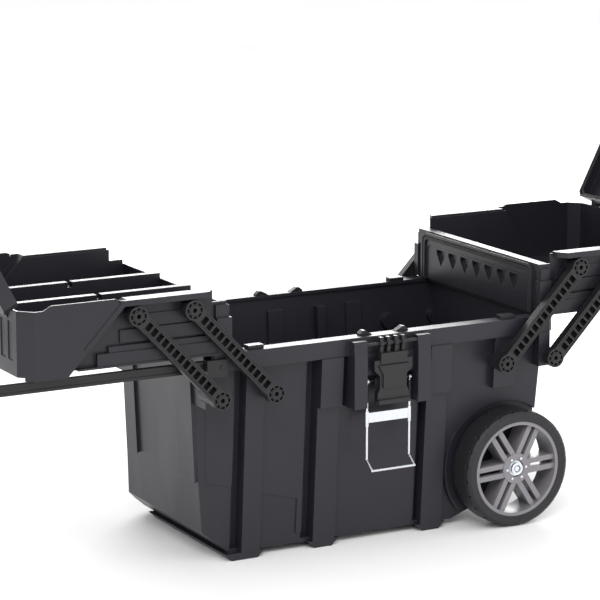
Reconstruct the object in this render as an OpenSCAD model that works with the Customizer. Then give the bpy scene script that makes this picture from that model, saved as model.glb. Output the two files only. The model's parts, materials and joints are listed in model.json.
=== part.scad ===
// Rolling tool chest: an open tub on two wheels, with two lidded bins that swing
// out to the left and right on eight cantilever arms, and a pull handle that
// slides in the long sides of the rim.
// X runs along the tub to the wheels, the latch is on the -Y face, Z = 0 is the floor.
// It is drawn with both bins swung out, both lids open and the handle pulled out.

/* [Tub] */
// Length of the rim
rim_len = 546; // [500:2:640]
// Width of the rim
rim_w = 331; // [300:1:360]
// Height of the rim's top above the floor
rim_z = 295; // [270:1:340]
// Width of the flat flange on top of the rim
flange_w = 20.8; // [16:0.2:26]
// Height of the band below the flange
band_h = 24; // [22:1:32]
// Thickness of the moulded walls
wall = 3; // [2:0.5:4]
// Draft of the long walls, from the floor to the band
side_draft = 19; // [8:1:24]
// Draft of the end walls, from the floor to the band
end_draft = 11; // [4:1:16]
// Clearance between the underside and the floor
floor_gap = 9; // [6:1:14]
// How far the ribs stand out from the panels
rib_depth = 9; // [5:0.5:12]
// How deep the groove beside each rib is cut
groove_depth = 11; // [4:0.5:13]
// Distance from the middle to the centre of the two middle ribs
rib_x = 86; // [76:1:100]
// Width of the middle ribs
rib_wide = 34; // [24:1:40]
// Distance from a rim end to the centre of the corner ribs
corner_rib_in = 74; // [63:1:93]
// Width of the corner ribs
corner_rib_wide = 28; // [20:1:32]
// Underside of the raised blocks at the top of the ribs, below the rim
block_drop = 93; // [80:1:115]

/* [Arms] */
// Distance between the two pivots of an arm
arm_len = 173.6; // [150:0.1:190]
// Lean of an arm from upright when its bin is swung out
arm_lean = 43.7; // [35:0.1:50]
// Distance between the two arms on one side of a bin
arm_gap = 80.4; // [70:0.1:95]
// Depth of the lower pivots below the rim
pivot_drop = 58; // [45:0.5:70]
// Distance from a rim end to the outer lower pivot
pivot_in = 10.6; // [10.6:0.1:28]
// Thickness of an arm
arm_t = 12; // [8:0.5:14]
// Width of an arm between its rings
arm_wide = 21; // [16:0.5:24]
// Radius of the ring at each end of an arm
ring_r = 13.5; // [12:0.5:15]
// Radius of the pivot pins
pin_r = 5.5; // [4:0.1:6]
// Number of pockets in the ladder of an arm
pockets = 13; // [8:1:16]

/* [Bins] */
// How far a bin is longer than half the rim
bin_over = 30; // [7:1:57]
// Height of a bin's rim above the tub's rim
bin_rise = 87; // [79:1:105]
// How far the slim part, where the arms lie, stays inside the rim's side
slim_in = 2.5; // [1.5:0.5:15]
// How far the wide part stands out from the rim's side
wide_over = 16.5; // [10.5:0.5:18.5]
// Height of the bin floor's top above the rim
floor_rise = 11; // [9:1:17]
// Height of the low rim at the bins' inner ends above the tub's rim
low_rise = 71; // [55:1:75]
// Distance from the middle to each divider
divider_y = 48; // [30:1:70]
// Width of a divider
divider_w = 11; // [6:1:16]

/* [Lids] */
// Depth of a lid from its rim to its top
lid_h = 21; // [16:1:30]
// How far a lid opens from closed
lid_open = 117; // [95:1:120]
// Radius of the hinge pins
hinge_pin_r = 2.5; // [2:0.1:3]

/* [Handle] */
// Height of a rail
rail_h = 14; // [10:0.1:16]
// Thickness of a rail
rail_t = 8; // [5:0.5:8]
// How far a rail is shorter than the rim
rail_short = 41; // [16:1:96]
// How far the handle pulls out
handle_out = 365; // [280:1:400]
// Radius of the rounded corners of the handle
handle_bend = 28; // [20:1:40]

/* [Latch] */
// Depth of the lever's hinge below the rim
lever_drop = 9; // [7:0.5:15]
// Length of the lever below its hinge
lever_len = 83; // [70:1:88]
// Depth of the bail's pivot below the rim
bail_drop = 62; // [50:0.5:70]
// Distance between the centres of the bail's two wires
bail_w = 67; // [66:0.5:70]
// Length of the bail below its pivot
bail_len = 122; // [100:1:130]
// Radius of the bail wire
wire_r = 1.8; // [1.4:0.1:2]

/* [Wheels] */
// Radius of a wheel
wheel_r = 83.4; // [70:0.2:90]
// Width of a wheel
wheel_w = 45; // [35:1:48]
// Distance from a rim end to the wheels' axle
axle_in = 71; // [63:1:83]
// How far the wheels stand out from the rim's sides, both together
track_over = 42.4; // [39:0.2:59]
// Radius of the axle
axle_r = 6; // [5:0.5:8]
// Thickness of the tyre
tyre_t = 15.1; // [9:0.1:28]

/* [Fits] */
// Radial clearance of a pin or axle in its bore
fit = 0.05; // [0.02:0.01:0.1]
// Gap between two pieces that slide or swing past each other
gap = 0.7; // [0.4:0.1:1]

/* [Hidden] */
$fn = 48;

plastic = [0.16, 0.16, 0.17];
dark_plastic = [0.11, 0.11, 0.12];
rubber = [0.09, 0.09, 0.1];
grey_plastic = [0.42, 0.41, 0.42];
zinc = [0.78, 0.79, 0.81];

// Rim and band
rim_y = rim_w / 2;
rim_x = rim_len / 2;
band_z = rim_z - band_h;
block_z = rim_z - block_drop;
corner_rib_x = rim_x - corner_rib_in;
flange_t = 5;
skirt_in = rim_y - wall;
flange_in = rim_y - flange_w;
// Long walls: y of the rib faces at the floor and at the band
rib_top_y = rim_y - 5.5;
rib_bottom_y = rib_top_y - side_draft;
// End walls: x at the band and at the floor
end_top_x = rim_x - 2;
end_bottom_x = end_top_x - end_draft;
right_end_x = end_top_x - 9;
// Bevels of the body's lower ends
left_bevel_x = 33;
left_bevel_z = 38;
right_slope_x = rim_x - 148;
right_slope_z = 58;
// Slanted corners of the body
corner_x = rim_x - 59;
corner_y = rim_y - 49.5;
// Square shoulder below the outer pivots
shoulder_drop = 20;
// Raised fields of the panels, above a step line
belt_z = 107;
field_t = 2;
// Inner floor of the tub
tub_floor = floor_gap + wall;
// Arms and pivots
wide_y = rim_y + wide_over;
pivot_z = rim_z - pivot_drop;
pivot_x = rim_x - pivot_in;
arm_dx = arm_len * sin(arm_lean);
arm_dz = arm_len * cos(arm_lean);
upper_z = pivot_z + arm_dz;
arm_in = wide_y + 3.6 - arm_t;
arm_out = wide_y + 3.6;
boss_y = arm_in - gap;
boss_r = ring_r - 1.5;
pin_head_r = pin_r + 1.1;
pin_head_t = 1.6;
pin_root_y = 9.5;
pin_bore_r = pin_r - 2.3;
inner_pivot_x = pivot_x - arm_gap;
ring_groove_in = pin_head_r + 1.5;
ring_groove_out = ring_r - 2.4;
ring_groove_t = 4;
pocket_t = arm_t - 3;
rung_t = 3;
// Bins: s runs outward from the inner end
half_gap = 0.5;
bin_len = rim_x + bin_over;
bin_top = rim_z + bin_rise;
bin_floor = rim_z + floor_rise;
low_rim = rim_z + low_rise;
slim_y = rim_y - slim_in;
bin_in = 2 * arm_dx + half_gap;
bin_out = bin_in + bin_len;
slim_z = rim_z + gap;
wide_z = rim_z - 3.5;
pad_len = 23;
pad_x = bin_in - 53.4;
hood_top = bin_top + 3;
hood_z = hood_top - 7.8;
lip_top = bin_top + 6;
hood_y = wide_y + 2.5;
hood_start = 28;
hood_end = 165;
inner_s = inner_pivot_x + arm_dx - bin_in;
outer_s = pivot_x + arm_dx - bin_in;
// The slant beside the folded arm runs parallel to it
slant_top_s = outer_s + 13;
slant_foot_s = slant_top_s + (bin_top - wide_z) * tan(arm_lean);
corner_cut = 18;
step_z = [bin_top - 21, bin_top - 39, bin_top - 59, bin_top - 67];
slant_foot_z = rim_z + 31;
slant_edge_s = slant_top_s + 0.6;
slant_edge_w = 9;
slant_run = (bin_top - slant_foot_z) * tan(arm_lean);
slant_edge_t = 1.6;
// Arched ridge at the right bin's inner end
seal_half = slim_y - 13;
seal_top = low_rim;
ridge_s = 9;
rim_back_s = 21;
pocket_z = low_rim - 22;
pocket_deep = 5;
// Lids
knuckle_r = hinge_pin_r + 3.2;
hinge_x = bin_out + 1;
hinge_z = bin_top + knuckle_r + gap;
hinge_y = wide_y - 70;
knuckle_w = 24;
lug_w = 12;
lug_y = [-hinge_y - knuckle_w / 2 - lug_w - gap, -hinge_y + knuckle_w / 2 + gap];
lid_rim_z = lip_top + gap;
lid_top_z = lid_rim_z + lid_h;
lid_y = hood_y - 1;
lid_cut = 7;
tongue_w = 27;
tongue_drop = 38;
tongue_y = wide_y - 8;
hook_reach = 12;
// Handle
rail_z = band_z + 1.5;
rail_y = rim_y - wall - gap - rail_t;
rail_start = -rim_x - 27;
rail_len = rim_len - rail_short;
bar_x = rail_start - handle_bend;
bar_t = 13;
grip_len = 130;
grip_r = 15;
grip_top = rail_z + rail_h / 2 + grip_r;
end_skirt_z = grip_top + 1.5;
// Latch
lever_z = rim_z - lever_drop;
bail_z = rim_z - bail_drop;
lever_y = rib_top_y + 16;
lever_t = 9;
tall_block_in = 40;
tall_block_out = 60;
tall_block_y = rim_y + 15.5;
latch_pin_r = 2.5;
bail_y = rib_top_y + 8;
kick_y = 15;
kick_z = 12;
plate_drop = 44;
plate_h = 14;
sleeve_len = 25;
sleeve_t = 0.8;
// Wheels
axle_x = rim_x - axle_in;
track_w = rim_w + track_over;
hub_r = wheel_r - tyre_t;
wheel_y = track_w / 2;
wheel_in = wheel_y - wheel_w;
well_y = wheel_in - 4;
arch_r = wheel_r + 7;
sleeve_r = axle_r + 5;
spoke_turn = 3;
tread = 24;

// ---- helpers -------------------------------------------------------------

// Both long sides: what is drawn on -Y is repeated on +Y
module both_sides() {
    children();
    mirror([0, 1, 0]) children();
}

module both_ends() {
    children();
    mirror([1, 0, 0]) children();
}

// y of the panel face on the long walls at a height
function panel_y(z) = rib_bottom_y - rib_depth + side_draft * z / band_z;

// A slab that follows the slanted long wall on -Y, between two offsets from the panel
module side_slab(x0, x1, z0, z1, lo, hi) {
    translate([x0, 0, 0]) rotate([90, 0, 90]) linear_extrude(x1 - x0)
        polygon([[-panel_y(z0) - hi, z0], [-panel_y(z1) - hi, z1],
            [-panel_y(z1) - lo, z1], [-panel_y(z0) - lo, z0]]);
}

// A profile in X and Z, extruded across the width
module across(half, pts) {
    rotate([90, 0, 0]) linear_extrude(2 * half, center = true) polygon(pts);
}

// A cylinder along Y from y0 to y1 at (x, z)
module y_rod(x, z, y0, y1, r) {
    translate([x, y1, z]) rotate([90, 0, 0]) cylinder(h = y1 - y0, r = r);
}

module span(x0, x1, y0, y1, z0, z1) {
    translate([x0, y0, z0]) cube([x1 - x0, y1 - y0, z1 - z0]);
}

// ---- tub -----------------------------------------------------------------

// Side view of the body, shrunk by a wall thickness for its inside
module body_profile(half, inset, top) {
    across(half, [
        [-end_bottom_x + left_bevel_x + inset * 0.6, floor_gap + inset],
        [right_slope_x - inset * 0.3, floor_gap + inset],
        [right_end_x - end_draft + inset * -1, right_slope_z + inset * 0.7],
        [right_end_x - inset + (top > band_z ? end_draft * (top - band_z) / band_z : 0), top],
        [-end_top_x + inset - (top > band_z ? end_draft * (top - band_z) / band_z : 0), top],
        [-end_bottom_x + inset, left_bevel_z + inset * 0.4]]);
}

// Plan of the body with its corners cut off
module body_plan(inset) {
    c = rim_x * 2;
    run = (end_bottom_x - corner_x) / (rib_top_y - corner_y);
    big = 60;
    linear_extrude(rim_z + 10) polygon([
        [-end_bottom_x - big * run + inset, -corner_y + big],
        [-end_bottom_x + inset * 1.3, -corner_y],
        [-corner_x + inset * 1.3, -rib_top_y],
        [-corner_x + 40 * run + inset * 1.3, -rib_top_y - 40],
        [c, -rib_top_y - 40], [c, rib_top_y + 40],
        [-corner_x + 40 * run + inset * 1.3, rib_top_y + 40],
        [-corner_x + inset * 1.3, rib_top_y],
        [-end_bottom_x + inset * 1.3, corner_y],
        [-end_bottom_x - big * run + inset, corner_y - big]]);
}

module body_solid(inset, top) {
    intersection() {
        translate([-rim_len, 0, 0]) rotate([90, 0, 90]) linear_extrude(2 * rim_len)
            polygon([[-panel_y(0) + inset, 0], [panel_y(0) - inset, 0],
                [panel_y(top) - inset, top], [-panel_y(top) + inset, top]]);
        body_profile(rim_w, inset, top);
        body_plan(inset);
    }
}

// Foot: the rib runs down to the floor with slanted sides
module foot(x, w) {
    translate([0, -rib_bottom_y, 0]) mirror([0, 1, 0])
        rotate([90, 0, 0]) linear_extrude(44)
            polygon([[x - w / 2 + 4, 0], [x + w / 2 - 4, 0],
                [x + w / 2 + 6, floor_gap + 1], [x - w / 2 - 6, floor_gap + 1]]);
}

module long_wall_outside() {
    for (x = [-rib_x, rib_x]) {
        side_slab(x - rib_wide / 2, x + rib_wide / 2, floor_gap, band_z, -2, rib_depth);
        side_slab(x - rib_wide / 2, x + rib_wide / 2, block_z, band_z, -2, rib_depth + 8);
        foot(x, rib_wide);
    }
    side_slab(-corner_rib_x - corner_rib_wide / 2, -corner_rib_x + corner_rib_wide / 2,
        floor_gap, band_z, -2, rib_depth);
    // Upper stub of the rib above the wheel
    side_slab(corner_rib_x - corner_rib_wide / 2 - 8, corner_rib_x + corner_rib_wide / 2,
        pivot_z - 40, band_z, -2, rib_depth + 2);
    // Bosses of the lower pivots
    for (x = [-pivot_x, -inner_pivot_x, inner_pivot_x, pivot_x])
        y_rod(x, pivot_z, -boss_y, -panel_y(pivot_z) + wall + 9, boss_r);
    // Upper field of the panel between the corner rib and the next one
    difference() {
        side_slab(-corner_rib_x + corner_rib_wide / 2, -rib_x - rib_wide / 2 - 15,
            floor_gap + 15, band_z - 2, -1, field_t);
        across_at(-rim_y, rim_y, [[-corner_rib_x, 0], [-rib_x - 41, 0], [-rib_x - 40, 74],
            [-corner_rib_x, 94]]);
    }
    // Web between the band and the boss of the right outer pivot
    span(right_end_x - 16, right_end_x + 2, -boss_y + 6, -panel_y(pivot_z) + 1,
        pivot_z - 14, band_z);
    // Lip of the wheel arch
    intersection() {
        difference() {
            y_rod(axle_x, wheel_r, -panel_y(wheel_r) - 4, -well_y + 12, arch_r + 4);
            y_rod(axle_x, wheel_r, -wheel_y, -well_y + 13, arch_r);
        }
        span(axle_x - arch_r - 6, right_end_x - end_draft, -wheel_y, 0,
            right_slope_z - 34, wheel_r + arch_r + 6);
    }
}

// Square shoulders above the slanted corners, which carry the outer pivots
module corner_blocks() {
    intersection() {
        translate([-rim_len, 0, 0]) rotate([90, 0, 90]) linear_extrude(2 * rim_len)
            polygon([[-panel_y(0), 0], [panel_y(0), 0],
                [panel_y(band_z), band_z], [-panel_y(band_z), band_z]]);
        body_profile(rim_w, 0, band_z);
        span(-rim_x, -corner_x, -rim_y, rim_y, pivot_z - shoulder_drop, band_z);
    }
    // Raised fields on the slanted corners
    both_sides() intersection() {
        body_solid(-field_t, band_z);
        span(-rim_x, -corner_x - 3, -rim_y, -corner_y - 6, belt_z, band_z);
    }
}

module foot_strip() {
    // Across the left end, opposite the wheels, with a slanted back end
    intersection() {
        across(rib_bottom_y, [
            [-end_bottom_x + left_bevel_x, 0], [-corner_rib_x + 11, 0],
            [-corner_rib_x + 21, floor_gap + 1],
            [-end_bottom_x + left_bevel_x - 10, floor_gap + 1]]);
        translate([-rim_len, 0, 0]) rotate([90, 0, 90]) linear_extrude(2 * rim_len)
            polygon([[-rib_bottom_y, -1], [corner_y - 22, -1], [corner_y, left_bevel_z],
                [-rib_bottom_y, left_bevel_z]]);
    }
}

// Grooves beside the ribs, cut from outside and stood out again inside
groove_x = [[-corner_rib_x - corner_rib_wide / 2 - 14, -corner_rib_x - corner_rib_wide / 2],
    [-rib_x - rib_wide / 2 - 15, -rib_x - rib_wide / 2],
    [tall_block_out + 1, rib_x - rib_wide / 2]];

module grooves(lo, hi, grow) {
    for (g = groove_x)
        side_slab(g[0] - grow, g[1] + grow, floor_gap + 6 - grow, band_z - 3 + grow, lo, hi);
}

module tub_cavity() {
    difference() {
        body_solid(wall, rim_z - flange_t);
        both_sides() grooves(-groove_depth - wall, 0, wall);
        both_sides() y_rod(axle_x, wheel_r, -wheel_y, -well_y + wall, arch_r + wall);
        y_rod(axle_x, wheel_r, -rim_y, rim_y, sleeve_r);
        both_sides() for (x = [-pivot_x, -inner_pivot_x, inner_pivot_x, pivot_x])
            y_rod(x, pivot_z, -rim_y, -panel_y(pivot_z) + wall + 9, boss_r);
        // Upright columns on the inner walls
        both_sides() for (x = [-150, -20, 110])
            side_slab(x, x + 26, tub_floor, band_z, -wall - 4, 0);
    }
    // Mouth of the tub, inside the flange
    span(-rim_x + flange_w, rim_x - flange_w, -flange_in, flange_in, band_z, rim_z + 1);
}

module end_wall_outside() {
    // Raised pilasters on the left end, drawn on the right and mirrored
    for (y = [[-corner_y + 5, 50], [70, 34]])
        across_at(y[0], y[1], [[end_bottom_x - 2, belt_z + 4], [end_bottom_x + 7.5, belt_z],
            [end_top_x + 3.5, band_z], [end_top_x - 4, band_z]]);
}

module rim() {
    difference() {
        // Flange and band
        span(-rim_x, rim_x, -rim_y, rim_y, band_z, rim_z);
        span(-rim_x + flange_w, rim_x - flange_w, -flange_in, flange_in, 0, rim_z + 1);
        // Hollow underside, open at the left for the rails
        both_sides() span(-rim_x - 1, rim_x - wall, -skirt_in, -panel_y(band_z), 0,
            rim_z - wall);
        both_ends() span(right_end_x, rim_x - wall, -panel_y(band_z) - 1,
            panel_y(band_z) + 1, 0, rim_z - wall);
        span(-rim_x - 1, -end_top_x, -rim_y + 28, rim_y - 28, 0, rim_z - 12);
        // Cut corners
        for (sx = [-1, 1], sy = [-1, 1])
            translate([sx * rim_x, sy * rim_y, band_z - 1]) rotate([0, 0, 45])
                cube([12, 12, 3 * band_h], center = true);
    }
}

// Housing of the latch: two tall blocks that the lever lies between
module latch_housing() {
    both_ends() {
        translate([tall_block_in, 0, 0]) rotate([90, 0, 90])
            linear_extrude(tall_block_out - tall_block_in)
                polygon([[-tall_block_y, block_z - 3], [-tall_block_y, band_z],
                    [-tall_block_y + 2.5, rim_z - 3], [-panel_y(block_z), rim_z - 3],
                    [-panel_y(block_z), block_z - 3]]);
    }
    span(-tall_block_in, tall_block_in, -rim_y - 2, -panel_y(band_z), band_z - 30, band_z);
}
module tub() {
    color(plastic) difference() {
        union() {
            body_solid(0, band_z + 1);
            both_sides() long_wall_outside();
            mirror([1, 0, 0]) end_wall_outside();
            corner_blocks();
            foot_strip();
            rim();
            latch_housing();
            body_wall_top();
        }
        tub_cavity();
        both_sides() grooves(-groove_depth, 40, 0);
        // Channels of the rails, below the flange
        both_sides() span(-rim_x - 1, rim_x - wall, -skirt_in, -rail_y + gap, band_z,
            rim_z - wall);
        // Wheel wells
        both_sides() y_rod(axle_x, wheel_r, -wheel_y - 20, -well_y, arch_r);
        y_rod(axle_x, wheel_r, -rim_y, rim_y, axle_r + fit);
        // Bores of the lower pivots
        both_sides() for (x = [-pivot_x, -inner_pivot_x, inner_pivot_x, pivot_x])
            y_rod(x, pivot_z, -boss_y - 1, -boss_y + pin_root_y, pin_r + fit);
        // Bore of the latch pin
        translate([-tall_block_out - 1, -lever_y, lever_z]) rotate([0, 90, 0])
            cylinder(h = 2 * tall_block_out + 2, r = latch_pin_r + fit);
    }
}

// The body's walls carried up to the flange
module body_wall_top() {
    difference() {
        body_solid(0, rim_z - 1);
        translate([0, 0, -1]) cube([4 * rim_x, 4 * rim_y, 2 * band_z], center = true);
    }
}

module rail_bracket() {
    x0 = -rim_x - 4;
    difference() {
        span(x0, x0 + 30, -rim_y - 5, -skirt_in + wall + 6, band_z - 6, rim_z - 6);
        // Room for the band and the rail
        span(x0 + 4 - fit, x0 + 31, -rim_y - fit, 0, band_z - fit, rim_z + 1);
        span(x0 - 1, x0 + 31, -rail_y - rail_t - gap, -rail_y + gap, rail_z - 0.4, rim_z);
        y_rod(x0 + 22, band_z + 7, -rim_y - 6, -rim_y + 1, 2.2);
    }
}

module rail_bracket_front() color(dark_plastic) rail_bracket();
module rail_bracket_back() color(dark_plastic) mirror([0, 1, 0]) rail_bracket();

module bracket_screws() {
    color(zinc) both_sides() {
        y_rod(-rim_x + 18, band_z + 7, -rim_y - 5.2, -rim_y, 2.1);
        y_rod(-rim_x + 18, band_z + 7, -rim_y - 6.2, -rim_y - 5, 2.9);
    }
}

// Ramps on the rim that guide the inner ends of the bins
module rim_ramps() {
    color(dark_plastic) both_sides() both_ends()
        translate([0, -flange_in - 2, 0]) rotate([90, 0, 0]) linear_extrude(9)
            polygon([[18, rim_z], [38, rim_z], [38, rim_z + 2], [33, rim_z + 6.5],
                [29, rim_z + 6.5]]);
}

module rim_pads() {
    color(dark_plastic) both_sides() both_ends()
        span(pad_x, pad_x + pad_len, -flange_in - 14, -flange_in - 1, rim_z, rim_z + 5);
}

// Hollow pin that is pressed into its boss
module pivot_pin(x, z) {
    difference() {
        union() {
            y_rod(x, z, -arm_out, -boss_y + pin_root_y - 1, pin_r);
            y_rod(x, z, -arm_out - 0.4, -arm_out + pin_head_t - gap, pin_head_r);
        }
        y_rod(x, z, -arm_out - 1, -arm_out + 7, pin_bore_r);
    }
}

module tub_pivots() {
    color(dark_plastic) for (x = [-pivot_x, -inner_pivot_x, inner_pivot_x, pivot_x])
        pivot_pin(x, pivot_z);
}

module tub_pivots_front() tub_pivots();
module tub_pivots_back() mirror([0, 1, 0]) tub_pivots();

module latch_pin() {
    color(zinc) translate([-tall_block_out + 2, -lever_y, lever_z]) rotate([0, 90, 0])
        cylinder(h = 2 * tall_block_out - 4, r = latch_pin_r);
}

module axle() {
    color(zinc) {
        y_rod(axle_x, wheel_r, -wheel_y + 7, wheel_y - 7, axle_r);
        y_rod(axle_x, wheel_r, -wheel_y + 3.5, wheel_y - 3.5, axle_r - 2.4);
    }
}

module push_nuts() {
    color(zinc) both_sides() difference() {
        union() {
            y_rod(axle_x, wheel_r, -wheel_y + 2.5, -wheel_y + 9, axle_r + 3);
            y_rod(axle_x, wheel_r, -wheel_y + 7.5, -wheel_y + 9, axle_r + 5);
        }
        y_rod(axle_x, wheel_r, -wheel_y + 6, -wheel_y + 10, axle_r + fit);
        y_rod(axle_x, wheel_r, -wheel_y, -wheel_y + 10, axle_r - 0.6);
    }
}

module wheel_washers() {
    color(zinc) both_sides() difference() {
        y_rod(axle_x, wheel_r, -wheel_in + 0.6, -wheel_in + 2.6, axle_r + 6);
        y_rod(axle_x, wheel_r, -wheel_in - 1, -wheel_in + 4, axle_r + fit);
    }
}

// ---- handle --------------------------------------------------------------

module rail() {
    translate([-handle_out, 0, 0]) difference() {
        span(rail_start, rail_start + rail_len, -rail_y - rail_t, -rail_y, rail_z,
            rail_z + rail_h);
        // Long flutes that stiffen the rail
        span(rail_start + 30, rail_start + rail_len - 12, -rail_y - rail_t - 1,
            -rail_y - rail_t + 1.2, rail_z + 4, rail_z + rail_h - 4);
        y_rod(rail_start + 9, rail_z + rail_h / 2, -rail_y - rail_t - 1, -rail_y + 1, 2.2);
    }
}

module handle_rail_front() color(dark_plastic) rail();
module handle_rail_back() color(dark_plastic) mirror([0, 1, 0]) rail();

// Cross bar with two rounded corners that take the rails' ends
module handle_bar() {
    bend_y = rail_y + rail_t - handle_bend;
    color(dark_plastic) translate([-handle_out, 0, 0]) difference() {
        union() {
            span(bar_x, bar_x + bar_t, -bend_y, bend_y, rail_z, rail_z + rail_h);
            both_sides() intersection() {
                difference() {
                    translate([bar_x + handle_bend, -bend_y, rail_z])
                        cylinder(h = rail_h, r = handle_bend);
                    translate([bar_x + handle_bend, -bend_y, rail_z - 1])
                        cylinder(h = rail_h + 2, r = handle_bend - bar_t);
                }
                span(bar_x - 1, bar_x + handle_bend, -bend_y - handle_bend - 1, -bend_y,
                    0, rim_z);
            }
            // Cheeks on the inside of the rails
            both_sides() span(bar_x + handle_bend - 0.01, rail_start + 20, -rail_y + fit,
                -rail_y + bar_t - rail_t, rail_z, rail_z + rail_h);
        }
        both_sides() y_rod(rail_start + 9, rail_z + rail_h / 2, -rail_y - 1, 0, 2.2);
    }
}

module handle_grip() {
    color(rubber) translate([bar_x + bar_t / 2 - handle_out, 0, rail_z + rail_h / 2])
        difference() {
            rotate([90, 0, 0]) linear_extrude(grip_len, center = true) difference() {
                circle(r = grip_r);
                square([bar_t + 2 * fit, rail_h + 2 * fit], center = true);
            }
            for (k = [-5:5]) translate([-16, k * 11 - 1.5, -20]) cube([2.2, 3, 40]);
        }
}

module handle_screws() {
    color(zinc) translate([-handle_out, 0, 0]) both_sides() {
        y_rod(rail_start + 9, rail_z + rail_h / 2, -rail_y - rail_t, -rail_y + 3, 2.1);
        y_rod(rail_start + 9, rail_z + rail_h / 2, -rail_y - rail_t - 1.6,
            -rail_y - rail_t, 4);
    }
}

// ---- arms ----------------------------------------------------------------

// An arm of the left bin on -Y, hanging from its upper pivot to the lower one
module arm(x) {
    ladder = arm_len - 2 * ring_r - 4;
    pitch = ladder / pockets;
    color(plastic) translate([-x, 0, pivot_z]) rotate([0, -arm_lean, 0]) difference() {
        union() {
            y_rod(0, 0, -arm_out, -arm_in, ring_r);
            y_rod(0, arm_len, -arm_out, -arm_in, ring_r);
            span(-arm_wide / 2, arm_wide / 2, -arm_out, -arm_in, 0, arm_len);
        }
        for (z = [0, arm_len]) {
            y_rod(0, z, -arm_out - 1, -arm_in + 1, pin_r + fit);
            y_rod(0, z, -arm_out - 1, -arm_out + pin_head_t, pin_head_r + 0.2);
            // Segmented groove round the ring
            difference() {
                y_rod(0, z, -arm_out - 1, -arm_out + ring_groove_t, ring_groove_out);
                y_rod(0, z, -arm_out - 2, -arm_out + 6, ring_groove_in);
                for (a = [0, 45, 90, 135]) translate([0, 0, z]) rotate([0, a + 20, 0])
                    span(-1, 1, -arm_out - 2, -arm_out + 6, -ring_r, ring_r);
            }
        }
        // Pockets of the ladder
        for (k = [0:pockets - 1])
            span(-arm_wide / 2 + 5, arm_wide / 2 - 5, -arm_out - 1, -arm_out + pocket_t,
                ring_r + 2 + k * pitch + rung_t / 2, ring_r + 2 + (k + 1) * pitch - rung_t / 2);
        // Shallow line along each edge
        for (s = [-1, 1]) translate([s * (arm_wide / 2 - 2.6), 0, 0])
            span(-0.5, 0.5, -arm_out - 1, -arm_out + 0.8, ring_r + 2, arm_len - ring_r - 2);
    }
}

module left_inner_arm_front() arm(inner_pivot_x);
module left_inner_arm_back() mirror([0, 1, 0]) arm(inner_pivot_x);
module left_outer_arm_front() arm(pivot_x);
module left_outer_arm_back() mirror([0, 1, 0]) arm(pivot_x);
module right_inner_arm_front() mirror([1, 0, 0]) arm(inner_pivot_x);
module right_inner_arm_back() mirror([1, 0, 0]) mirror([0, 1, 0]) arm(inner_pivot_x);
module right_outer_arm_front() mirror([1, 0, 0]) arm(pivot_x);
module right_outer_arm_back() mirror([1, 0, 0]) mirror([0, 1, 0]) arm(pivot_x);

// ---- bins (drawn as the left one; s is measured outward from its inner end) ----

module s_span(s0, s1, y0, y1, z0, z1) {
    span(-bin_in - s1, -bin_in - s0, y0, y1, z0, z1);
}

// The wide outer part of a bin, grown or shrunk by g
module wide_part(half, z0, z1, g) {
    top_s = slant_top_s + g - (z1 - bin_top) * tan(arm_lean);
    across(half, [
        [-bin_in - top_s, z1],
        [-bin_in - slant_foot_s - g - (wide_z - z0) * tan(arm_lean), z0],
        [-bin_out + (g > 0 ? wall : 0), z0],
        [-bin_out + (g > 0 ? wall : 0), z1]]);
}

module bin_plan(inset) {
    translate([0, 0, wide_z - 20]) linear_extrude(200) polygon([
        [-bin_in, -wide_y - 30], [-bin_out + corner_cut, -wide_y - 30],
        [-bin_out + corner_cut, -wide_y + inset * 0.6], [-bin_out + inset * 0.6, -wide_y + corner_cut],
        [-bin_out + inset * 0.6, wide_y - corner_cut], [-bin_out + corner_cut, wide_y - inset * 0.6],
        [-bin_out + corner_cut, wide_y + 30], [-bin_in, wide_y + 30]]);
}

module bin_outside() {
    intersection() {
        union() {
            s_span(0, bin_len, -slim_y, slim_y, slim_z, bin_top);
            wide_part(wide_y, wide_z, bin_top, 0);
        }
        bin_plan(0);
    }
    both_sides() {
        // Flange along the foot between the arms
        s_span(10, slant_foot_s - 20, -slim_y - 8, -slim_y + 1, slim_z, slim_z + wall);
        // Hood over the arms' upper rings
        hood();
        // Pivot bosses
        for (s = [inner_s, outer_s])
            y_rod(-bin_in - s, upper_z, -boss_y, -slim_y + wall + 9, boss_r);
        // Terraces of the wall behind the arms, each standing further out than the one above
        for (k = [0:3]) s_span(34 - 8 * k, slant_top_s - 12 + k * 17, -slim_y - 1.6 - 1.7 * k,
            -slim_y + 1, step_z[k] - 17, step_z[k]);
        // Raised edge of the wide part, along the slant
        across_at(-wide_y - slant_edge_t, slant_edge_t + 1, [
            [-bin_in - slant_edge_s, bin_top],
            [-bin_in - slant_edge_s - slant_edge_w, bin_top],
            [-bin_in - slant_edge_s - slant_edge_w - slant_run, slant_foot_z],
            [-bin_in - slant_edge_s - slant_run, slant_foot_z]]);
        // Raised lip on the rim of the wide part, with a slanted outer end
        across_at(-wide_y, wall, [
            [-bin_in - hood_end - 3, bin_top - 1], [-bin_in - hood_end - 3, lip_top - 2],
            [-bin_in - hood_end - 8, lip_top], [-bin_in - bin_len + 41, lip_top],
            [-bin_in - bin_len + 30, bin_top], [-bin_in - bin_len + 30, bin_top - 1]]);
    }
    // Hinge lugs
    both_sides() for (y = lug_y) hinge_lug(y, lug_w);
}

// The lip over the arms, with slanted noses at both ends
module hood() {
    translate([0, 0, hood_z]) linear_extrude(hood_top - hood_z) polygon([
        [-bin_in - hood_start, -slim_y + 1], [-bin_in - hood_start - 2, -slim_y - 9],
        [-bin_in - hood_start - 12, -hood_y], [-bin_in - hood_end + 4, -hood_y],
        [-bin_in - hood_end - 4, -wide_y + 4], [-bin_in - hood_end - 4, -slim_y + 1]]);
}

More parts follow.
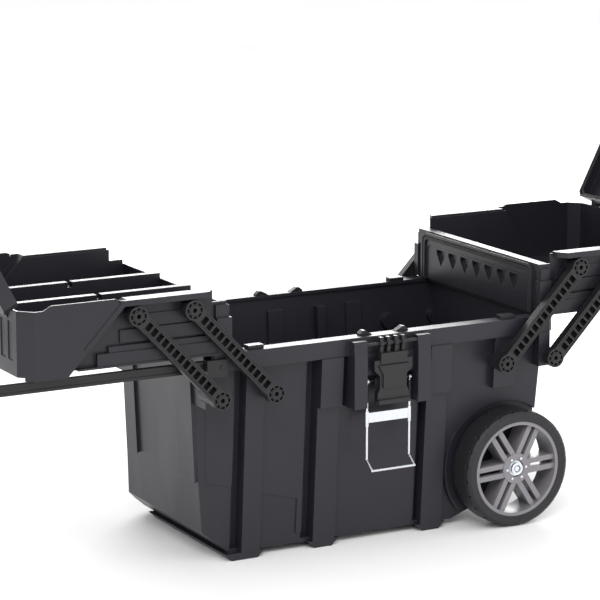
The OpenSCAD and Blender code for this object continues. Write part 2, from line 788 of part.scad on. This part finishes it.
module hinge_lug(y, w) {
    y_rod(-hinge_x, hinge_z, y, y + w, knuckle_r);
    across_at(y, w, [[-hinge_x - 4, hinge_z], [-hinge_x + 5, hinge_z],
        [-hinge_x + 5, bin_top - 6], [-bin_out + 1, bin_top - 14], [-bin_out, bin_top - 14],
        [-hinge_x - 4, bin_top - 4]]);
}

// A profile in X and Z, from y onward by w
module across_at(y, w, pts) {
    translate([0, y + w, 0]) rotate([90, 0, 0]) linear_extrude(w) polygon(pts);
}

module bin_cavity() {
    // Inside
    s_span(wall, bin_len - wall, -slim_y + wall, slim_y - wall, bin_floor, bin_top + 9);
    intersection() {
        wide_part(wide_y - wall, bin_floor, bin_top + 9, wall);
        bin_plan(2 * wall);
    }
    // Underside
    s_span(wall, bin_len - wall, -slim_y + wall, slim_y - wall, wide_z - 9, bin_floor - wall);
    intersection() {
        wide_part(wide_y - wall, wide_z - 9, bin_floor - wall, wall);
        bin_plan(2 * wall);
    }
    // Clear of the rim, the handle rails and the grip
    s_span(-1, bin_len + 1, -rim_y - 6, rim_y + 6, wide_z - 9, end_skirt_z);
}

module bin_bores() {
    both_sides() for (s = [inner_s, outer_s])
        y_rod(-bin_in - s, upper_z, -boss_y - 1, -boss_y + pin_root_y, pin_r + fit);
    y_rod(-hinge_x, hinge_z, -wide_y, wide_y, hinge_pin_r + fit);
}

module bin_boss_backs() {
    both_sides() for (s = [inner_s, outer_s])
        y_rod(-bin_in - s, upper_z, -slim_y + 1, -boss_y + pin_root_y + wall, boss_r);
}

// Slots in the outer end wall, between stiffening bars
module end_slots() {
    for (k = [-6:6]) s_span(bin_len - 1.2, bin_len + 1, k * 24 - 8, k * 24 + 8,
        wide_z + 24, bin_top - 16);
}

module left_bin() {
    color(plastic) difference() {
        union() {
            difference() {
                bin_outside();
                bin_cavity();
            }
            bin_boss_backs();
            // Stepped inner corners
            both_sides() s_span(0, 22, -slim_y - 8, -slim_y + wall, slim_z + 1, low_rim - 21);
            both_sides() s_span(4, 22, -slim_y - 4, -slim_y + wall, low_rim - 22, low_rim - 4);
        }
        bin_bores();
        end_slots();
        // Low rim at the inner end
        s_span(-1, hood_start - 3, -slim_y - 20, slim_y + 20, low_rim, bin_top + 9);
        s_span(-1, 4, -slim_y - 20, slim_y + 20, low_rim - 6, bin_top + 9);
        // Slots for the dividers' inner ends
        for (y = [-divider_y, divider_y])
            s_span(wall - 1.2, wall + 1, y - divider_w / 2 - 0.2, y + divider_w / 2 + 0.2,
                bin_floor, low_rim + 5);
    }
}

// A divider has a hollow underside and a notch halfway
module divider(y) {
    top = low_rim + 1;
    color(plastic) difference() {
        s_span(wall - 1, bin_len - wall - 0.2, y - divider_w / 2, y + divider_w / 2,
            bin_floor, top);
        s_span(wall + 3, bin_len - wall - 4, y - divider_w / 2 + 2, y + divider_w / 2 - 2,
            bin_floor - 1, top - 2.5);
        s_span(outer_s - 8, outer_s - 1, y - divider_w, y + divider_w, top - 7, top + 1);
    }
}

module left_divider_front() divider(-divider_y);
module left_divider_back() divider(divider_y);

module bin_pivots() {
    color(dark_plastic) both_sides() for (s = [inner_s, outer_s])
        pivot_pin(-bin_in - s, upper_z);
}

module left_bin_pivots() bin_pivots();
module right_bin_pivots() mirror([1, 0, 0]) bin_pivots();

module hinge_pins() {
    color(zinc) both_sides() y_rod(-hinge_x, hinge_z, -hinge_y - knuckle_w / 2 - lug_w - 3,
        -hinge_y + knuckle_w / 2 + lug_w + 3, hinge_pin_r);
}

module left_hinge_pins() hinge_pins();
module right_hinge_pins() mirror([1, 0, 0]) hinge_pins();

// Arch outline with rounded shoulders, from the bin's foot up to a height
module arch(half, top, r, s0, s1) {
    translate([-bin_in - s0, 0, 0]) rotate([90, 0, -90]) linear_extrude(s1 - s0) union() {
        translate([-half, slim_z + 1]) square([2 * half, top - r - slim_z - 1]);
        translate([-half + r, slim_z + 1]) square([2 * half - 2 * r, top - slim_z - 1]);
        for (s = [-1, 1]) translate([s * (half - r), top - r]) circle(r = r);
    }
}

module right_bin() {
    color(plastic) mirror([1, 0, 0]) difference() {
        union() {
            difference() {
                bin_outside();
                bin_cavity();
                // Set the inner end wall back behind the arched ridge
                s_span(-1, ridge_s - wall, -slim_y - 20, slim_y + 20, 0, bin_top + 9);
            }
            s_span(ridge_s - wall, ridge_s, -slim_y, slim_y, slim_z, low_rim - 1);
            // Deep rim behind the ridge, hollow below
            difference() {
                s_span(ridge_s - wall, rim_back_s, -slim_y, slim_y, low_rim - 16, low_rim + 2);
                s_span(ridge_s, rim_back_s - wall, -slim_y + wall, slim_y - wall, low_rim - 17,
                    low_rim - 1);
            }
            // Thick wall that the pockets are sunk in
            s_span(ridge_s - 1, ridge_s + 5, -seal_half + 24, seal_half - 24, pocket_z - 34,
                pocket_z + 4);
            bin_boss_backs();
            difference() {
                arch(seal_half, seal_top, 14, 2, ridge_s);
                arch(seal_half - 4, seal_top - 4, 10, -1, ridge_s - 4);
                arch(seal_half - 14, seal_top - 18, 8, -1, ridge_s - 1.5);
            }
            // Rounded corner posts outside the ridge
            both_sides() s_span(3, 22, -slim_y - 8, -slim_y + wall, slim_z + 1, low_rim - 21);
            both_sides() s_span(7, 22, -slim_y - 4, -slim_y + wall, low_rim - 22, low_rim - 4);
        }
        bin_bores();
        end_slots();
        s_span(-1, hood_start - 3, -slim_y - 20, slim_y + 20, low_rim + 2, bin_top + 9);
        // Pointed pockets below the ridge
        for (k = [-3:3]) translate([-bin_in - ridge_s + wall - pocket_deep, 0, 0])
            rotate([90, 0, 90]) linear_extrude(pocket_deep + 1) polygon([
                [k * 33 - 12, pocket_z], [k * 33 + 12, pocket_z], [k * 33 + 12, pocket_z - 6],
                [k * 33, pocket_z - 24], [k * 33 - 12, pocket_z - 6]]);
    }
}

// Soft seal in the channel of the arched ridge
module right_bin_seal() {
    color(rubber) mirror([1, 0, 0]) difference() {
        arch(seal_half - 5, seal_top - 5, 10, 2.4, ridge_s - 4.05);
        arch(seal_half - 10, seal_top - 10, 8, 0, ridge_s);
    }
}

// ---- lids (drawn closed on the left bin, then turned about the hinge) ----

module lid_solid() {
    x0 = -hinge_x + 3;
    x1 = -bin_in;
    difference() {
        union() {
            translate([0, 0, lid_rim_z]) linear_extrude(lid_h) polygon([
                [x1, -lid_y], [x0 + lid_cut, -lid_y], [x0, -lid_y + lid_cut],
                [x0, lid_y - lid_cut], [x0 + lid_cut, lid_y], [x1, lid_y]]);
            // Raised field on top
            span(x0 + 34, x1 - 26, -lid_y + 30, lid_y - 30, lid_top_z - 1, lid_top_z + 1.6);
        }
        // Hollow underside
        translate([0, 0, lid_rim_z - 1]) linear_extrude(lid_h - wall + 1) polygon([
            [x1 - wall, -lid_y + wall], [x0 + lid_cut + 1, -lid_y + wall],
            [x0 + wall, -lid_y + lid_cut + 1], [x0 + wall, lid_y - lid_cut - 1],
            [x0 + lid_cut + 1, lid_y - wall], [x1 - wall, lid_y - wall]]);
    }
    // Ribs under the plate
    for (k = [1:3]) span(x0 + 2, x1 - 2, -lid_y + k * lid_y / 2 - 1, -lid_y + k * lid_y / 2 + 1,
        lid_top_z - 12, lid_top_z - wall + 1);
    for (k = [1:3]) span(x0 + k * bin_len / 4 - 1, x0 + k * bin_len / 4 + 1, -lid_y + 2,
        lid_y - 2, lid_top_z - 9, lid_top_z - wall + 1);
    // Tongue that the bail hooks over
    span(x1 - tongue_w, x1, -tongue_y - 5, -tongue_y - 1, lid_rim_z - tongue_drop,
        lid_top_z - wall + 1);
    span(x1 - tongue_w, x1, -tongue_y - hook_reach, -tongue_y - 4, lid_rim_z - tongue_drop,
        lid_rim_z - tongue_drop + 4);
    // Hinge knuckles
    both_sides() {
        y_rod(-hinge_x, hinge_z, -hinge_y - knuckle_w / 2, -hinge_y + knuckle_w / 2, knuckle_r);
        across_at(-hinge_y - knuckle_w / 2, knuckle_w, [
            [-hinge_x - knuckle_r * 0.6, hinge_z + knuckle_r * 0.8],
            [-hinge_x + knuckle_r * 0.5, hinge_z + knuckle_r * 0.7],
            [x0 + 2, lid_rim_z + 4], [x0 + 2, lid_rim_z + 14]]);
    }
}

// Turn what is drawn closed to its open place
module opened() {
    translate([-hinge_x, 0, hinge_z]) rotate([0, -lid_open, 0])
        translate([hinge_x, 0, -hinge_z]) children();
}

module lid() {
    color(plastic) opened() difference() {
        lid_solid();
        y_rod(-hinge_x, hinge_z, -wide_y, wide_y, hinge_pin_r + fit);
        // Room for the bin's lugs
        both_sides() for (y = lug_y)
            y_rod(-hinge_x, hinge_z, y - gap, y + lug_w + gap, knuckle_r + gap);
    }
}

module left_lid() lid();
module right_lid() mirror([1, 0, 0]) lid();

// Seal that runs round inside the lid's rim
module lid_seal() {
    x0 = -hinge_x + 3 + wall + 0.2;
    x1 = -bin_in - wall - 0.2;
    y1 = lid_y - wall - 0.2;
    cut = lid_cut + 1;
    color(rubber) opened() translate([0, 0, lid_rim_z + 1]) linear_extrude(4) difference() {
        polygon([[x1, -y1], [x0 + cut, -y1], [x0, -y1 + cut], [x0, y1 - cut],
            [x0 + cut, y1], [x1, y1]]);
        polygon([[x1 - 3, -y1 + 3], [x0 + cut + 1, -y1 + 3], [x0 + 3, -y1 + cut + 1],
            [x0 + 3, y1 - cut - 1], [x0 + cut + 1, y1 - 3], [x1 - 3, y1 - 3]]);
        // Gap at the tongue
        translate([-bin_in - tongue_w - 1, -lid_y]) square([tongue_w, lid_y - tongue_y + 1]);
    }
}

module left_lid_seal() lid_seal();
module right_lid_seal() mirror([1, 0, 0]) lid_seal();

// ---- latch ---------------------------------------------------------------

module x_rod(y, z, x0, x1, r) {
    translate([x0, y, z]) rotate([0, 90, 0]) cylinder(h = x1 - x0, r = r);
}

// The lever: a comb at the hinge, a waisted buckle and a lip at the foot
module latch_lever() {
    foot_z = lever_z - lever_len;
    waist_z = lever_z - 28;
    flare = 29.5;
    color(dark_plastic) difference() {
        union() {
            for (x = [-19.5, -8.5, 3.5, 14.5]) {
                x_rod(-lever_y, lever_z, x, x + 5, 5.2);
                span(x, x + 5, -lever_y - 3.5, -lever_y + 3, lever_z - 16, lever_z);
                span(x, x + 5, -lever_y - 3, -lever_y + 3, lever_z, lever_z + 9);
            }
            span(-20.5, 20.5, -lever_y - lever_t + 1, -lever_y + 3, waist_z + 1, lever_z - 12);
            translate([0, -lever_y + 3, 0]) rotate([90, 0, 0]) linear_extrude(lever_t)
                polygon([[-flare, waist_z + 6], [flare, waist_z + 6], [flare, waist_z - 8],
                    [21, waist_z - 16], [21, foot_z + 22], [24.5, foot_z + 14],
                    [24.5, foot_z], [-24.5, foot_z], [-24.5, foot_z + 14],
                    [-21, foot_z + 22], [-21, waist_z - 16], [-flare, waist_z - 8]]);
            // Raised face of the buckle
            translate([0, -lever_y - lever_t + 4, 0]) rotate([90, 0, 0]) linear_extrude(4)
                polygon([[-24, waist_z - 1], [24, waist_z - 1], [17, waist_z - 14],
                    [17, foot_z + 22], [-17, foot_z + 22], [-17, waist_z - 14]]);
            span(-24.5, 24.5, -lever_y - lever_t - 1, -lever_y + 3, foot_z, foot_z + 6);
            // Boss that holds the bail's pin, behind the waist
            x_rod(-bail_y, bail_z, -24, 24, 4.6);
            span(-24, 24, -lever_y + 2, -bail_y, bail_z - 4.6, bail_z + 4.6);
        }
        x_rod(-lever_y, lever_z, -40, 40, latch_pin_r + fit);
        x_rod(-bail_y, bail_z, -40, 40, wire_r + fit);
    }
}

module bail_pin() {
    color(zinc) x_rod(-bail_y, bail_z, -bail_w / 2 - 3.5, bail_w / 2 + 3.5, wire_r);
}

// Wire bail: an eye at each end of the pin, two sides, a kicked-out foot and a bar
module latch_bail() {
    foot_z = bail_z - bail_len;
    knee_z = foot_z + kick_z;
    bend_r = wire_r + 0.1;
    color(zinc) difference() {
        union() {
            both_ends() {
                x_rod(-bail_y, bail_z, bail_w / 2 - bend_r, bail_w / 2 + bend_r, wire_r + 1.7);
                translate([bail_w / 2, -bail_y, knee_z])
                    cylinder(h = bail_z - knee_z - wire_r - 1, r = wire_r);
                translate([bail_w / 2, -bail_y, knee_z]) sphere(r = bend_r);
                translate([bail_w / 2, -bail_y, knee_z])
                    rotate([180 - atan2(kick_y, kick_z), 0, 0])
                        cylinder(h = norm([kick_y, kick_z]), r = wire_r);
                translate([bail_w / 2, -bail_y - kick_y, foot_z]) sphere(r = bend_r);
            }
            x_rod(-bail_y - kick_y, foot_z, -bail_w / 2, bail_w / 2, wire_r);
        }
        x_rod(-bail_y, bail_z, -bail_w, bail_w, wire_r + fit);
    }
}

// Plastic sleeves on the upper ends of the wires
module bail_sleeves() {
    z1 = bail_z - wire_r - 2.4;
    color(dark_plastic) both_ends() difference() {
        translate([bail_w / 2, -bail_y, z1 - sleeve_len]) cylinder(h = sleeve_len, r = wire_r + sleeve_t);
        translate([bail_w / 2, -bail_y, z1 - sleeve_len - 1])
            cylinder(h = sleeve_len + 2, r = wire_r + fit / 2);
    }
}

// Pressed plate wrapped round both wires
module bail_plate() {
    z1 = bail_z - plate_drop;
    color(zinc) difference() {
        union() {
            span(-bail_w / 2, bail_w / 2, -bail_y - 0.6, -bail_y + 0.6, z1 - plate_h, z1);
            both_ends() translate([bail_w / 2, -bail_y, z1 - plate_h - 5])
                cylinder(h = plate_h + 8, r = wire_r + 0.9);
        }
        both_ends() translate([bail_w / 2, -bail_y, z1 - plate_h - 10])
            cylinder(h = plate_h + 20, r = wire_r + fit / 2);
    }
}

// ---- wheels (drawn as the front one) ---------------------------------------

module wheel_place() {
    translate([axle_x, -wheel_in, wheel_r]) rotate([90, 0, 0]) children();
}

module tyre() {
    color(rubber) wheel_place() difference() {
        rotate_extrude($fn = 96) polygon([
            [hub_r, 1], [wheel_r - 5, 0], [wheel_r - 1, 3], [wheel_r, 9],
            [wheel_r, wheel_w - 9], [wheel_r - 1, wheel_w - 3], [wheel_r - 5, wheel_w],
            [hub_r, wheel_w - 1]]);
        // Notches of the tread, in both shoulders
        for (k = [0:tread - 1], z = [-1.5, wheel_w - 8.5]) rotate([0, 0, (k + 0.43) * 360 / tread])
            translate([wheel_r - 1.6, -2, z]) cube([6, 4, 10]);
    }
}

// Hub: a rim, six pairs of spokes and a bored centre
module hub() {
    spoke_t = 8;
    spoke_z = wheel_w - 14;
    color(grey_plastic) wheel_place() difference() {
        union() {
            difference() {
                translate([0, 0, 2]) cylinder(h = wheel_w - 4, r = hub_r - fit, $fn = 96);
                translate([0, 0, 1]) cylinder(h = wheel_w, r = hub_r - 5, $fn = 96);
            }
            for (k = [0:5], s = [-1, 1]) rotate([0, 0, k * 60 + spoke_turn])
                translate([10, s * 6.8 - 3.7, spoke_z]) cube([hub_r - 13, 7.4, spoke_t]);
            // Deep web behind each spoke
            for (k = [0:5], s = [-1, 1]) rotate([0, 0, k * 60 + spoke_turn])
                translate([10, s * 6.8 - 1.5, 4]) cube([hub_r - 13, 3, spoke_z - 3]);
            cylinder(h = wheel_w - 10, r = 17.5);
            translate([0, 0, spoke_z - 2]) cylinder(h = 11, r = 21.8);
        }
        translate([0, 0, -1]) cylinder(h = wheel_w + 2, r = axle_r + fit);
        translate([0, 0, wheel_w - 9.4]) cylinder(h = 20, r = axle_r + 6);
        for (k = [0:5]) rotate([0, 0, k * 60 + spoke_turn]) translate([15.5, 0, wheel_w - 12])
            cylinder(h = 9, r = 1.3);
    }
}

module hub_bolts() {
    color(zinc) wheel_place() for (k = [0:5]) rotate([0, 0, k * 60 + spoke_turn])
        translate([15.5, 0, wheel_w - 11.5]) {
            cylinder(h = 7, r = 1.25);
            translate([0, 0, 6.55]) cylinder(h = 1, r = 1.8);
        }
}

module front_tyre() tyre();
module front_hub() hub();
module front_hub_bolts() hub_bolts();
module back_tyre() mirror([0, 1, 0]) tyre();
module back_hub() mirror([0, 1, 0]) hub();
module back_hub_bolts() mirror([0, 1, 0]) hub_bolts();

tub();
rail_bracket_front();
rail_bracket_back();
bracket_screws();
rim_ramps();
rim_pads();
tub_pivots_front();
tub_pivots_back();
latch_pin();
axle();
push_nuts();
wheel_washers();
handle_rail_front();
handle_rail_back();
handle_bar();
handle_grip();
handle_screws();
left_inner_arm_front();
left_inner_arm_back();
left_outer_arm_front();
left_outer_arm_back();
right_inner_arm_front();
right_inner_arm_back();
right_outer_arm_front();
right_outer_arm_back();
left_bin();
left_divider_front();
left_divider_back();
left_bin_pivots();
left_hinge_pins();
left_lid();
left_lid_seal();
right_bin();
right_bin_seal();
right_bin_pivots();
right_hinge_pins();
right_lid();
right_lid_seal();
latch_lever();
bail_pin();
latch_bail();
bail_sleeves();
bail_plate();
front_tyre();
front_hub();
front_hub_bolts();
back_tyre();
back_hub();
back_hub_bolts();
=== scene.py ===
# Looks of the rolling tool chest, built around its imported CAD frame.
import json

import bpy
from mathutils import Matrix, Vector

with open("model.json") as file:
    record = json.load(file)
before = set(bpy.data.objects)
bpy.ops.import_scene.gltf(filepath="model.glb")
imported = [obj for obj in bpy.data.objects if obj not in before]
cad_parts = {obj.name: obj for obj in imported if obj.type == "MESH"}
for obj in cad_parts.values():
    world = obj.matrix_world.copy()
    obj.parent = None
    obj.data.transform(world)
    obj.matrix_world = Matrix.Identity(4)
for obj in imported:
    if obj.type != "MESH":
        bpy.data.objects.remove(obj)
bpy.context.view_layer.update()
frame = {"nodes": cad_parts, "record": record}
nodes = frame["nodes"]


# ---- node helpers ---------------------------------------------------------

class Tree:
    """A material's node tree with short calls for the nodes used here."""

    def __init__(self, name):
        self.mat = bpy.data.materials.new(name)
        self.mat.use_nodes = True
        self.t = self.mat.node_tree
        self.t.nodes.clear()
        self.out = self.t.nodes.new("ShaderNodeOutputMaterial")
        self.bsdf = self.t.nodes.new("ShaderNodeBsdfPrincipled")
        self.t.links.new(self.bsdf.outputs["BSDF"], self.out.inputs["Surface"])
        self.coord = self.t.nodes.new("ShaderNodeTexCoord").outputs["Object"]

    def link(self, a, b):
        self.t.links.new(a, b)

    def noise(self, scale, detail=3.0, rough=0.55, stretch=(1, 1, 1), distortion=0.0):
        m = self.t.nodes.new("ShaderNodeMapping")
        m.inputs["Scale"].default_value = stretch
        self.link(self.coord, m.inputs["Vector"])
        n = self.t.nodes.new("ShaderNodeTexNoise")
        n.inputs["Scale"].default_value = scale
        n.inputs["Detail"].default_value = detail
        n.inputs["Roughness"].default_value = rough
        n.inputs["Distortion"].default_value = distortion
        self.link(m.outputs["Vector"], n.inputs["Vector"])
        return n.outputs["Fac"]

    def cells(self, scale, feature="F1"):
        v = self.t.nodes.new("ShaderNodeTexVoronoi")
        v.feature = feature
        v.inputs["Scale"].default_value = scale
        self.link(self.coord, v.inputs["Vector"])
        return v.outputs["Distance"]

    def remap(self, value, a, b, c, d):
        m = self.t.nodes.new("ShaderNodeMapRange")
        m.inputs["From Min"].default_value = a
        m.inputs["From Max"].default_value = b
        m.inputs["To Min"].default_value = c
        m.inputs["To Max"].default_value = d
        self.link(value, m.inputs["Value"])
        return m.outputs["Result"]

    def math(self, op, a, b):
        m = self.t.nodes.new("ShaderNodeMath")
        m.operation = op
        for socket, v in zip(m.inputs, (a, b)):
            if isinstance(v, (int, float)):
                socket.default_value = v
            else:
                self.link(v, socket)
        return m.outputs[0]

    def mix(self, fac, a, b):
        m = self.t.nodes.new("ShaderNodeMix")
        m.data_type = "RGBA"
        if isinstance(fac, float):
            m.inputs[0].default_value = fac
        else:
            self.link(fac, m.inputs[0])
        for i, v in ((6, a), (7, b)):
            if isinstance(v, tuple):
                m.inputs[i].default_value = (*v, 1.0)
            else:
                self.link(v, m.inputs[i])
        return m.outputs[2]

    def bevel(self, radius):
        b = self.t.nodes.new("ShaderNodeBevel")
        b.samples = 6
        b.inputs["Radius"].default_value = radius
        return b.outputs["Normal"]

    def bump(self, height, strength, distance, normal=None):
        b = self.t.nodes.new("ShaderNodeBump")
        b.inputs["Strength"].default_value = strength
        b.inputs["Distance"].default_value = distance
        self.link(height, b.inputs["Height"])
        if normal is not None:
            self.link(normal, b.inputs["Normal"])
        return b.outputs["Normal"]

    def edges(self, radius):
        """1 near sharp edges, 0 on flats: how far a rounded normal leans from the true one."""
        g = self.t.nodes.new("ShaderNodeNewGeometry")
        d = self.t.nodes.new("ShaderNodeVectorMath")
        d.operation = "DOT_PRODUCT"
        self.link(self.bevel(radius), d.inputs[0])
        self.link(g.outputs["Normal"], d.inputs[1])
        return self.remap(d.outputs["Value"], 0.98, 0.80, 0.0, 1.0)


def lighter(c, k):
    return tuple(min(1.0, v * k) for v in c)


HAZE = 0.05  # how far the gloss of moulded plastic drifts


def moulded(name, colour, rough, grain=0.25, grain_scale=1500.0, edge=1.35, round_r=0.0009,
            coat=0.0):
    """Moulded plastic: fine eroded texture, cloudy gloss, faint flow marks and paler worn edges."""
    t = Tree(name)
    cloud = t.noise(7.0, 4.0, 0.6)
    flow = t.noise(16.0, 3.0, 0.5, (1.0, 1.0, 0.35), 0.4)
    fine = t.noise(grain_scale, 2.0, 0.6)
    pits = t.cells(grain_scale * 0.55)
    wear = t.edges(0.0012)
    scuff = t.noise(260.0, 4.0, 0.7)
    base = t.mix(t.remap(cloud, 0.35, 0.65, 0.0, 1.0), lighter(colour, 0.93), lighter(colour, 1.07))
    base = t.mix(t.remap(fine, 0.35, 0.7, 0.0, 0.5), base, lighter(colour, 1.16))
    worn = t.math("MULTIPLY", wear, t.remap(scuff, 0.35, 0.65, 0.25, 0.8))
    base = t.mix(worn, base, lighter(colour, edge))
    t.link(base, t.bsdf.inputs["Base Color"])
    r = t.math("ADD", t.remap(flow, 0.3, 0.7, rough - HAZE, rough + HAZE),
               t.remap(fine, 0.3, 0.7, -0.03, 0.03))
    r = t.math("SUBTRACT", r, t.math("MULTIPLY", worn, 0.06))
    t.link(r, t.bsdf.inputs["Roughness"])
    height = t.math("ADD", t.math("MULTIPLY", fine, 0.6), t.math("MULTIPLY", pits, 0.5))
    n = t.bump(height, grain, 0.00012, t.bevel(round_r))
    t.link(n, t.bsdf.inputs["Normal"])
    t.bsdf.inputs["Specular IOR Level"].default_value = 0.38
    t.bsdf.inputs["IOR"].default_value = 1.49
    if coat:
        t.bsdf.inputs["Coat Weight"].default_value = coat
        t.bsdf.inputs["Coat Roughness"].default_value = 0.3
    return t.mat


def rubbery(name, colour, rough):
    """Rubber or soft tyre plastic: dull, with speckle and fine scuffs."""
    t = Tree(name)
    speck = t.noise(900.0, 3.0, 0.65)
    dust = t.noise(22.0, 5.0, 0.6)
    scuff = t.noise(60.0, 5.0, 0.7, (1.0, 3.0, 1.0), 0.8)
    base = t.mix(t.remap(dust, 0.4, 0.7, 0.0, 0.7), colour, lighter(colour, 1.25))
    base = t.mix(t.remap(speck, 0.5, 0.8, 0.0, 0.5), base, lighter(colour, 1.5))
    t.link(base, t.bsdf.inputs["Base Color"])
    t.link(t.remap(scuff, 0.3, 0.7, rough - 0.08, rough + 0.08), t.bsdf.inputs["Roughness"])
    n = t.bump(t.math("ADD", speck, t.math("MULTIPLY", scuff, 0.4)), 0.35, 0.00015,
               t.bevel(0.0012))
    t.link(n, t.bsdf.inputs["Normal"])
    t.bsdf.inputs["Specular IOR Level"].default_value = 0.4
    return t.mat


def zinc(name, colour, rough):
    """Zinc plated steel: drawn streaks, faint blue and yellow spangle, small dull spots."""
    t = Tree(name)
    streak = t.noise(240.0, 3.0, 0.6, (1.0, 1.0, 0.05))
    spangle = t.noise(70.0, 2.0, 0.5)
    spots = t.noise(420.0, 4.0, 0.7)
    base = t.mix(t.remap(spangle, 0.35, 0.65, 0.0, 1.0), colour,
                 (colour[0] * 0.96, colour[1] * 0.99, min(1.0, colour[2] * 1.03)))
    base = t.mix(t.remap(spots, 0.62, 0.75, 0.0, 0.4), base, lighter(colour, 0.75))
    t.link(base, t.bsdf.inputs["Base Color"])
    t.bsdf.inputs["Metallic"].default_value = 1.0
    t.link(t.math("ADD", t.remap(streak, 0.3, 0.7, rough - 0.06, rough + 0.06),
                  t.remap(spots, 0.5, 0.8, 0.0, 0.12)), t.bsdf.inputs["Roughness"])
    n = t.bump(t.math("ADD", streak, t.math("MULTIPLY", spots, 0.4)), 0.12, 0.00008,
               t.bevel(0.0005))
    t.link(n, t.bsdf.inputs["Normal"])
    return t.mat


BLACK = (0.0160, 0.0148, 0.0210)
MATERIALS = {
    "tub_black": moulded("tub_plastic", BLACK, 0.40),
    "bin_black": moulded("bin_plastic", (0.0140, 0.0130, 0.0180), 0.38),
    "arm_black": moulded("arm_plastic", (0.0125, 0.0125, 0.0140), 0.36, 0.15, round_r=0.0006),
    "fitting_black": moulded("fitting_plastic", (0.0135, 0.0135, 0.0150), 0.38, 0.2, round_r=0.0007),
    "rail_black": moulded("rail_coating", (0.0110, 0.0110, 0.0125), 0.33, 0.3, 2400.0, 1.2, 0.0008),
    "hub_grey": moulded("hub_plastic", (0.190, 0.182, 0.196), 0.36, 0.3, 1100.0, 1.25, 0.0008, 0.15),
    "tyre_black": rubbery("tyre_rubber", (0.0135, 0.0128, 0.0155), 0.55),
    "rubber_black": rubbery("seal_rubber", (0.0130, 0.0130, 0.0145), 0.62),
    "zinc_steel": zinc("zinc_plate", (0.72, 0.73, 0.76), 0.26),
}

for part in frame["record"]["subparts"]:
    obj = nodes[part["node"]]
    obj.data.materials.clear()
    obj.data.materials.append(MATERIALS[part["material_slot"]])


# ---- floor, light, camera --------------------------------------------------

FLOOR_HALF = 14.0


def floor():
    me = bpy.data.meshes.new("floor")
    s = FLOOR_HALF
    me.from_pydata([(-s, -s, 0), (s, -s, 0), (s, s, 0), (-s, s, 0)], [], [(0, 1, 2, 3)])
    o = bpy.data.objects.new("floor", me)
    bpy.context.scene.collection.objects.link(o)
    t = Tree("floor_paper")
    tone = t.noise(1.6, 3.0)
    t.link(t.mix(t.remap(tone, 0.3, 0.7, 0.0, 1.0), (0.93, 0.93, 0.93), (0.96, 0.96, 0.96)),
           t.bsdf.inputs["Base Color"])
    t.bsdf.inputs["Roughness"].default_value = 0.9
    t.bsdf.inputs["Specular IOR Level"].default_value = 0.1
    t.link(t.bump(t.noise(300.0, 2.0), 0.02, 0.0002), t.bsdf.inputs["Normal"])
    o.data.materials.append(t.mat)


AIM = (0, 0, 0.25)


def area(name, at, size, power, to=AIM):
    d = bpy.data.lights.new(name, "AREA")
    d.shape = "RECTANGLE"
    d.size, d.size_y = size
    d.energy = power
    o = bpy.data.objects.new(name, d)
    o.location = at
    o.rotation_euler = (Vector(to) - Vector(at)).to_track_quat("-Z", "Y").to_euler()
    bpy.context.scene.collection.objects.link(o)


floor()
area("key", (-1.4, -2.4, 2.6), (1.6, 1.6), 46)
area("side", (-3.0, 0.2, 1.3), (1.2, 1.6), 4)
area("back", (1.5, 3.2, 1.55), (3.4, 1.7), 140, (0, 0, 0.30))
area("fill", (2.6, -2.2, 1.2), (1.4, 1.4), 12)

world = bpy.data.worlds.new("studio")
bpy.context.scene.world = world
world.use_nodes = True
world.node_tree.nodes["Background"].inputs["Color"].default_value = (1, 1, 1, 1)
world.node_tree.nodes["Background"].inputs["Strength"].default_value = 1.05

cam = bpy.data.cameras.new("camera")
cam.sensor_width = 36.0
cam.lens = 2730.0 / 600.0 * 36.0
cam.clip_end = 60.0
camera = bpy.data.objects.new("camera", cam)
camera.location = (-1.8408, -3.2923, 1.1003)
camera.rotation_euler = Vector((0.4686, 0.8594, -0.2045)).to_track_quat("-Z", "Y").to_euler()
bpy.context.scene.collection.objects.link(camera)
bpy.context.scene.camera = camera
bpy.context.scene.view_settings.view_transform = "Standard"
